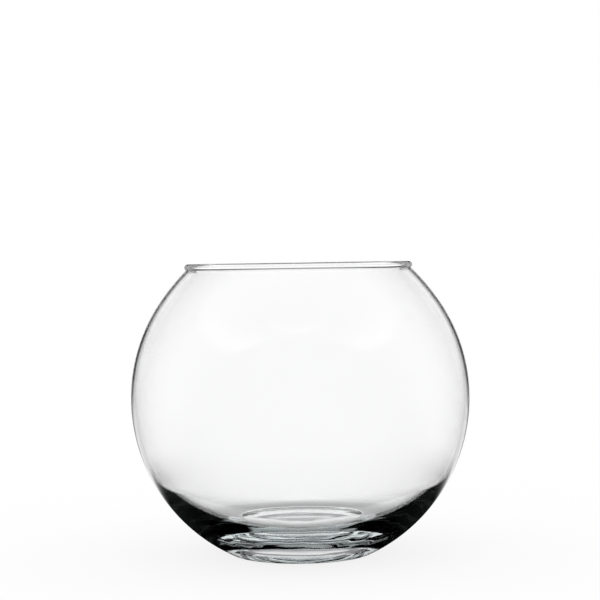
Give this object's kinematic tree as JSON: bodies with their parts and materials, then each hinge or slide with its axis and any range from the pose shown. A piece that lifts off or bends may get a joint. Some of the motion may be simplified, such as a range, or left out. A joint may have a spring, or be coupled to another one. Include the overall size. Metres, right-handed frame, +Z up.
{
  "type": "vase",
  "caption": "Clear glass globe vase with a wide beaded mouth, thin wall, thick heel and shallow-domed foot; holds water and stems.",
  "frame": {"origin": "middle of the foot, on the surface that the vase stands on", "axes": "+Z up along the vase's axis, towards the mouth; X and Y are alike"},
  "size_m": [0.19, 0.19, 0.1635],
  "materials": {
    "clear_glass": "polished, colourless"
  },
  "bodies": {
    "root": {"glass_bowl": "clear_glass"}
  },
  "joints": []
}
